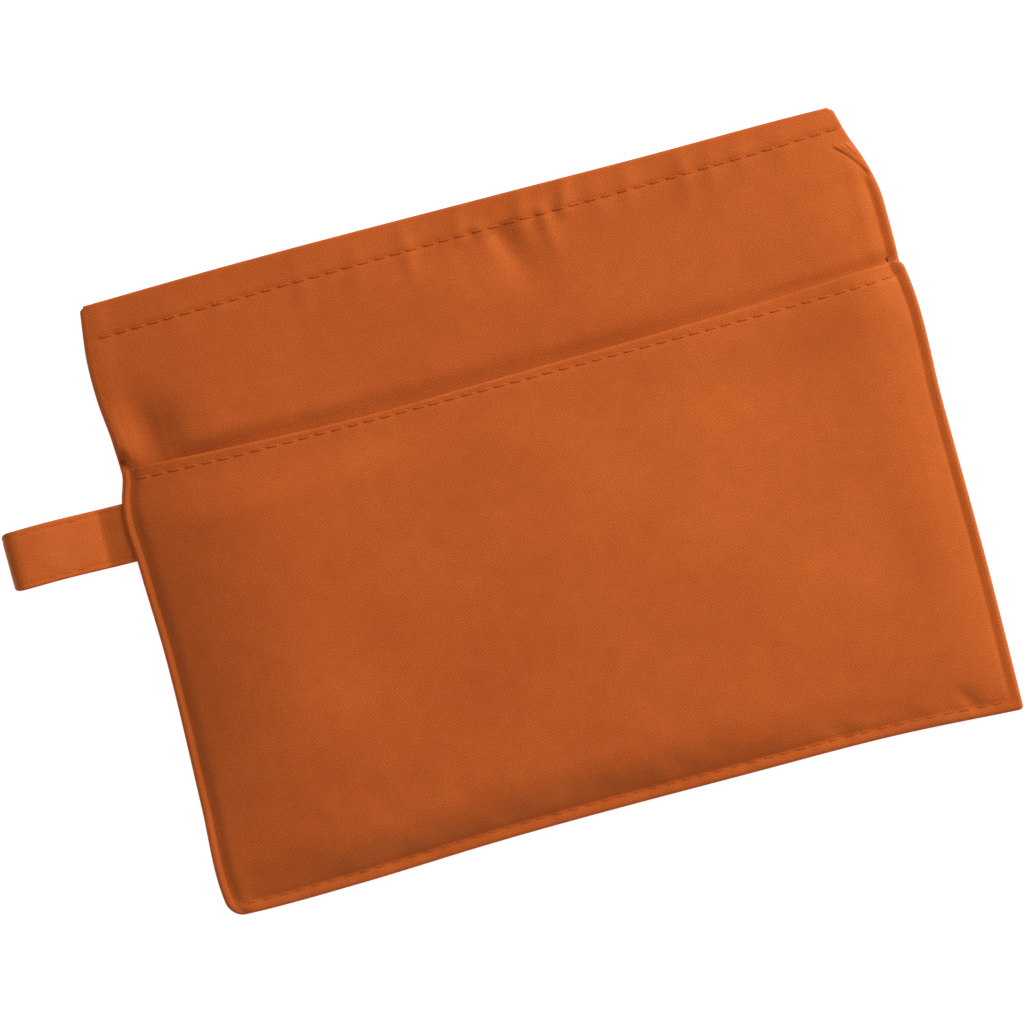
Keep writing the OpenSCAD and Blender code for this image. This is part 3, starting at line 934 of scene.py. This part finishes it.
def sand_mass():
    return pillow(
        SAND, 1.2, 0.0,
        lambda x, y: sleeve_height(x, y) - 1.5 + rough(x, y, 85),
        lambda x, y: back_height(x, y) + 1.15 + rough(x, y, 88))


# ---------------------------------------------------------------- materials

def material(name, colour):
    mat = bpy.data.materials.new(name)
    mat.use_nodes = True
    mat.diffuse_color = (*colour, 1.0)
    nodes = mat.node_tree.nodes
    return mat, nodes, mat.node_tree.links, nodes["Principled BSDF"]


def add(nodes, kind, **inputs):
    node = nodes.new(kind)
    for name, value in inputs.items():
        key = name.replace("_", " ")
        if key in node.inputs:
            node.inputs[key].default_value = value
        else:
            setattr(node, name, value)
    return node


def math_node(nodes, links, operation, a, b):
    node = nodes.new("ShaderNodeMath")
    node.operation = operation
    for socket, value in zip(node.inputs, (a, b)):
        if isinstance(value, (int, float)):
            socket.default_value = value
        else:
            links.new(value, socket)
    return node.outputs[0]


WAVE_PITCH = 0.314          # the wave texture's pitch at a scale of 1


class Look:
    """A material in the making: its nodes, and short ways to add and join them."""

    def __init__(self, name, colour):
        self.mat, self.nodes, self.links, self.shader = material(name, colour)
        flat = add(self.nodes, "ShaderNodeAttribute", attribute_name="flat")
        self.flat = flat.outputs["Vector"]

    def noise(self, scale, detail=2.0, vector=None):
        node = add(self.nodes, "ShaderNodeTexNoise", Scale=scale, Detail=detail)
        self.links.new(vector or self.flat, node.inputs["Vector"])
        return node.outputs["Fac"]

    def turned(self, degrees, stretch=(1, 1, 1)):
        node = add(self.nodes, "ShaderNodeMapping")
        node.inputs["Rotation"].default_value = (0, 0, math.radians(degrees))
        node.inputs["Scale"].default_value = stretch
        self.links.new(self.flat, node.inputs["Vector"])
        return node.outputs[0]

    def wave(self, pitch, distortion, vector):
        """Ridges a pitch apart, in millimetres."""
        node = add(self.nodes, "ShaderNodeTexWave", Scale=WAVE_PITCH / pitch, Distortion=distortion,
                   Detail=2.0, Detail_Scale=1.4)
        self.links.new(vector, node.inputs["Vector"])
        return node.outputs["Fac"]

    def sum(self, *terms):
        """The sum of (socket, weight) pairs."""
        total = None
        for socket, weight in terms:
            term = math_node(self.nodes, self.links, "MULTIPLY", socket, weight)
            total = term if total is None else math_node(self.nodes, self.links, "ADD", total, term)
        return total

    def colour(self, value, *stops):
        ramp = self.nodes.new("ShaderNodeValToRGB")
        elements = ramp.color_ramp.elements
        while len(elements) < len(stops):
            elements.new(0.5)
        for element, (place, rgb) in zip(elements, stops):
            element.position = place
            element.color = (*rgb, 1)
        self.links.new(value, ramp.inputs[0])
        self.links.new(ramp.outputs["Color"], self.shader.inputs["Base Color"])

    def roughness(self, value, low, high):
        node = add(self.nodes, "ShaderNodeMapRange", To_Min=low, To_Max=high)
        self.links.new(value, node.inputs["Value"])
        self.links.new(node.outputs[0], self.shader.inputs["Roughness"])

    def bump(self, value, strength, distance):
        """distance is the relief's depth in millimetres."""
        node = add(self.nodes, "ShaderNodeBump", Strength=strength, Distance=distance * MM)
        self.links.new(value, node.inputs["Height"])
        self.links.new(node.outputs[0], self.shader.inputs["Normal"])

    def set(self, **inputs):
        for name, value in inputs.items():
            self.shader.inputs[name.replace("_", " ")].default_value = value


def satin(name, twill_turn):
    look = Look(name, (0.45, 0.08, 0.012))
    twill = look.wave(0.7, 1.2, look.turned(twill_turn))
    yarn = look.noise(2.8, 2.5)                      # the yarns' glints: rough, bumpy specks, which the colour ramp also paints as lighter golden specks, a painted highlight
    grain = look.noise(4.6, 1.0)
    weft = look.noise(1.0, 2.0, look.turned(0, (0.45, 3.2, 1)))
    mottle = look.noise(0.22, 3.0)
    cloud = look.noise(0.035, 3.0)                   # broad, faint clouds of colour
    tone = look.sum(
        (yarn, 0.46), (grain, 0.12), (twill, 0.03), (weft, 0.08), (mottle, 0.10), (cloud, 0.22))
    # the lower stops are the cloth's own tone; the top, golden stop paints glints on the lightest
    # specks: a painted highlight
    look.colour(
        tone, (0.32, (0.310, 0.049, 0.0077)), (0.50, (0.405, 0.0692, 0.0121)),
        (0.62, (0.480, 0.0935, 0.0168)), (0.76, (0.560, 0.175, 0.0290)))
    look.roughness(yarn, 0.46, 0.70)
    look.set(Specular_IOR_Level=0.21, Specular_Tint=(0.50, 0.95, 0.25, 1),
             Sheen_Weight=0.20, Sheen_Roughness=0.35, Sheen_Tint=(0.90, 0.66, 0.16, 1))
    look.bump(look.sum((twill, 0.30), (yarn, 2.4), (grain, 0.6), (weft, 0.4)), 0.5, 0.075)
    return look.mat


def seam_cloth():
    """The cut layers in the seam: the same cloth, with frayed, matt edges."""
    look = Look("seam_cloth", (0.36, 0.06, 0.01))
    fray = look.noise(1.7, 3.0)
    yarn = look.noise(0.9, 2.0, look.turned(0, (0.4, 4.0, 1)))
    look.colour(
        look.sum((fray, 0.6), (yarn, 0.4)),
        (0.3, (0.24, 0.036, 0.004)), (0.75, (0.44, 0.085, 0.011)))
    look.roughness(fray, 0.6, 0.85)
    look.set(Specular_IOR_Level=0.2)
    look.bump(look.sum((fray, 1.0), (yarn, 0.7)), 0.5, 0.08)
    return look.mat


def sewing_thread():
    look = Look("sewing_thread", (0.22, 0.035, 0.005))
    twist = look.wave(0.5, 0.3, look.turned(40))
    fluff = look.noise(5.0, 2.0)
    look.colour(
        look.sum((twist, 0.55), (fluff, 0.45)),
        (0.25, (0.34, 0.056, 0.0088)), (0.8, (0.46, 0.082, 0.0128)))
    look.roughness(fluff, 0.45, 0.7)
    look.set(Specular_IOR_Level=0.12, Specular_Tint=(1.0, 0.7, 0.3, 1))
    look.bump(look.sum((twist, 1.0), (fluff, 0.4)), 0.6, 0.06)
    return look.mat


def liner_film():
    look = Look("liner_film", (0.8, 0.82, 0.82))
    haze = look.noise(0.12, 3.0)
    wrinkle = look.noise(0.9, 4.0)
    look.colour(
        look.sum((haze, 0.7), (wrinkle, 0.3)),
        (0.3, (0.66, 0.69, 0.70)), (0.75, (0.86, 0.87, 0.86)))
    look.roughness(wrinkle, 0.18, 0.42)
    look.set(Alpha=0.5, Specular_IOR_Level=0.5)
    look.bump(wrinkle, 0.4, 0.15)
    return look.mat


def sand_grains():
    look = Look("sand_grains", (0.6, 0.48, 0.3))
    grain = add(look.nodes, "ShaderNodeTexVoronoi", Scale=2.2)
    look.links.new(look.flat, grain.inputs["Vector"])
    damp = look.noise(0.08, 2.0)
    look.colour(look.sum((grain.outputs["Color"], 0.6), (damp, 0.4)),
                (0.2, (0.30, 0.21, 0.11)), (0.5, (0.58, 0.44, 0.25)), (0.85, (0.80, 0.70, 0.50)))
    look.roughness(damp, 0.7, 0.95)
    look.set(Specular_IOR_Level=0.3)
    look.bump(grain.outputs["Distance"], 0.8, 0.3)
    return look.mat


# ---------------------------------------------------------------- pieces

def wear(name, parts, mat):
    piece = make_mesh(name, parts)
    piece.data.materials.append(mat)
    return piece


def ride(piece, *nodes):
    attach(piece, "pouch")
    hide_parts(*nodes)
    return piece


def fold(piece, *nodes):
    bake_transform(piece)
    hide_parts(*nodes)
    return piece


cloth, strap_satin = satin("satin_cloth", -30.5), satin("strap_satin", 40)
seam, thread = seam_cloth(), sewing_thread()

back = fold(wear("back_cloth", [sheet_part(back_cloth())], cloth),
            "back_panel", "sleeve_back", "mouth_hem_back")
inner = fold(wear("inner_cloth", [sheet_part(inner_cloth())], cloth),
             "inner_panel", "sleeve_front", "mouth_hem_front")
front = ride(wear("front_cloth", [sheet_part(front_cloth())], cloth),
             "front_panel", "pocket_hem")

side_first, side_last = Y_BOTTOM + EDGE_W + 0.3, Y_MOUTH - 1.5
fold(wear("left_plies", plies(side_line(-1), side_first, side_last, True), seam),
     "left_seam", "sleeve_left_seam")
fold(wear("right_plies", plies(side_line(1), side_first, side_last, True), seam),
     "right_seam", "sleeve_right_seam")
bottom_layers = plies(lambda x: (bottom_edge(x), 1), -HALF_W + 1.5, HALF_W - 1.5, False)
ride(wear("bottom_plies", bottom_layers, seam), "bottom_seam")

ride(wear("left_stitches", side_stitches(-1), thread), "left_seam_thread")
ride(wear("right_stitches", side_stitches(1), thread), "right_seam_thread")
ride(wear("bottom_stitches", bottom_stitches(), thread), "bottom_seam_thread")
ride(wear("pocket_stitches", pocket_stitches(), thread), "pocket_hem_thread")
fold(wear("sleeve_stitches", sleeve_stitches(), thread), "sleeve_seam_thread")
mouth_row = wear("mouth_stitches", mouth_stitches(), thread)
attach(mouth_row, "sleeve")
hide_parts("mouth_hem_thread")

strap = wear("loop_strap", loop_strap(), strap_satin)
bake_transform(strap)
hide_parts("hang_loop", "loop_tail")
strap_row = wear("loop_stitches", loop_stitches(), thread)
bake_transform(strap_row)
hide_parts("loop_thread")

liner = ride(wear("liner_bag", liner_bag(), liner_film()),
             "liner_front", "liner_back")
ride(wear("sand_mass", sand_mass(), sand_grains()), "sand_fill")


# ---------------------------------------------------------------- floor, light and camera

FLOOR_SIZE, FLOOR_Z = 6, -0.0002
FLOOR_GLOW = 0.86           # a lit surface, like a light table, so that hardly any shadow falls on it
KEY_PLACE, KEY_SIZE, KEY_POWER = (1.36, 0.785, 0.88), 1.0, 50.0     # to the picture's upper right
SKY, SKY_STRENGTH = (0.95, 1.0, 1.13, 1), 0.50
TURN = math.radians(14.5)   # the pouch lies turned in the picture
VIEW_WIDTH, DISTANCE, AIM_X, AIM_Y = 0.251, 2.2, -0.009, 0.0007
SENSOR = 36.0


def floor():
    bpy.ops.mesh.primitive_plane_add(size=FLOOR_SIZE, location=(0, 0, FLOOR_Z))
    plane = bpy.context.object
    plane.name = "floor"
    mat, _, _, shader = material("floor", (0.9, 0.9, 0.9))
    shader.inputs["Base Color"].default_value = (0.4, 0.4, 0.4, 1)
    shader.inputs["Roughness"].default_value = 0.9
    shader.inputs["Specular IOR Level"].default_value = 0.1
    shader.inputs["Emission Color"].default_value = (1, 1, 1, 1)
    shader.inputs["Emission Strength"].default_value = FLOOR_GLOW
    plane.data.materials.append(mat)


def area_light(name, place, size, power):
    data = bpy.data.lights.new(name, "AREA")
    data.shape = "DISK"
    data.size = size
    data.energy = power
    lamp = bpy.data.objects.new(name, data)
    bpy.context.scene.collection.objects.link(lamp)
    lamp.location = place
    # it faces the middle of the pouch
    lamp.rotation_euler = (Vector((0, 0, 0)) - lamp.location).to_track_quat("-Z", "Y").to_euler()


def light():
    world = bpy.data.worlds.new("studio")
    bpy.context.scene.world = world
    world.use_nodes = True
    background = world.node_tree.nodes["Background"]
    background.inputs["Color"].default_value = SKY
    background.inputs["Strength"].default_value = SKY_STRENGTH
    area_light("key", KEY_PLACE, KEY_SIZE, KEY_POWER)


def camera():
    data = bpy.data.cameras.new("camera")
    cam = bpy.data.objects.new("camera", data)
    bpy.context.scene.collection.objects.link(cam)
    data.sensor_width = SENSOR
    data.lens = SENSOR * DISTANCE / VIEW_WIDTH
    data.clip_end = 20
    cam.location = (AIM_X, AIM_Y, DISTANCE)
    cam.rotation_euler = (0, 0, -TURN)
    bpy.context.scene.camera = cam


floor()
light()
camera()
bpy.context.scene.view_settings.view_transform = "Standard"
